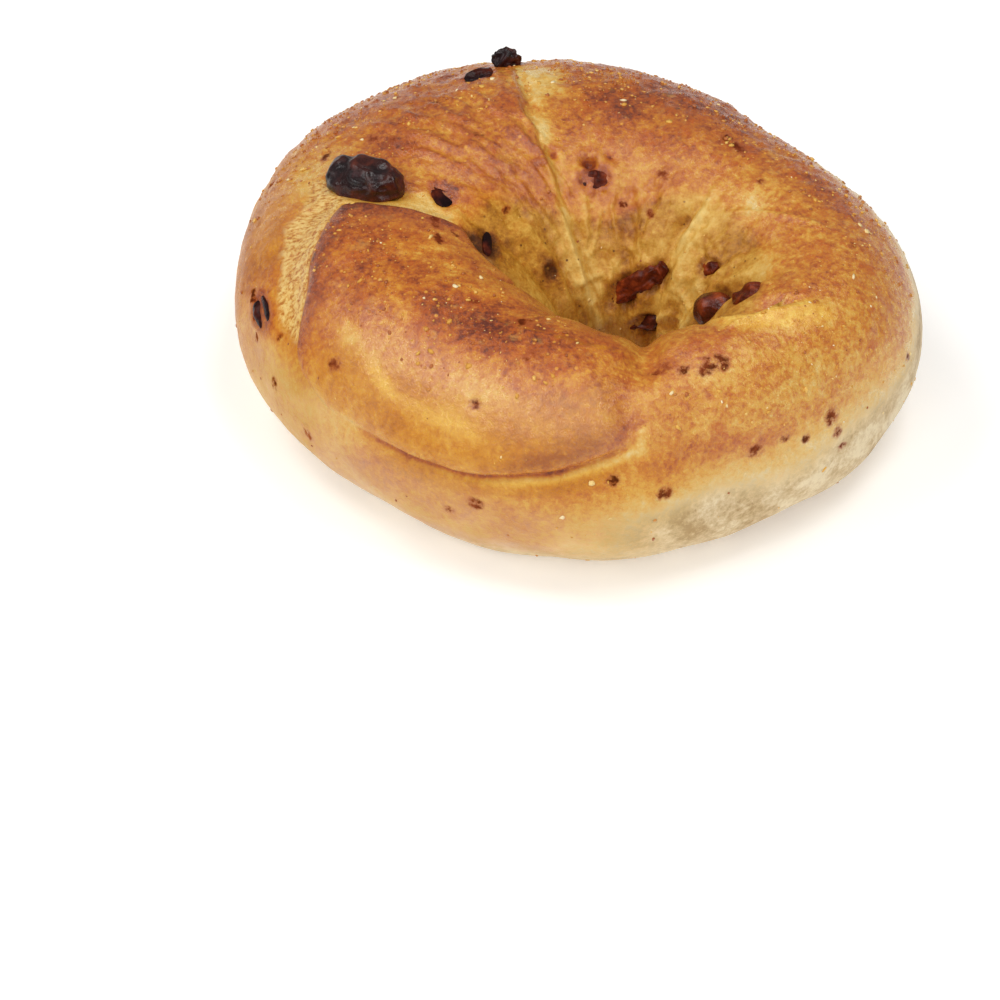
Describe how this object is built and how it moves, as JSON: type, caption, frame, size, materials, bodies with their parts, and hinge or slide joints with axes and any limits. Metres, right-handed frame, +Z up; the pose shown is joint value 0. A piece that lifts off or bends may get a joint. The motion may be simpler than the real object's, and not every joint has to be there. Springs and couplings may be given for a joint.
{
  "type": "cinnamon raisin bagel",
  "caption": "Hand-rolled cinnamon raisin bagel: a browned dough ring with a lapped rope end, a funnel down to an off-centre hole and raisins baked into the crust.",
  "frame": {"origin": "under the middle of the bounding box, on the surface the bagel lies on", "axes": "+Z up through the hole, -Y towards the side with the lapped rope end, +X to the right seen from there"},
  "size_m": [0.1134, 0.1076, 0.0409],
  "materials": {
    "crust": "baked, browned and faintly glossy dough skin",
    "raisin": "wrinkled, sticky dried fruit skin"
  },
  "bodies": {
    "root": {"bagel": "crust", "raisin_01": "raisin", "raisin_02": "raisin", "raisin_03": "raisin", "raisin_04": "raisin", "raisin_05": "raisin", "raisin_06": "raisin", "raisin_07": "raisin", "raisin_08": "raisin", "raisin_09": "raisin", "raisin_10": "raisin", "raisin_11": "raisin", "raisin_12": "raisin", "raisin_13": "raisin", "raisin_14": "raisin", "raisin_15": "raisin"}
  },
  "joints": []
}
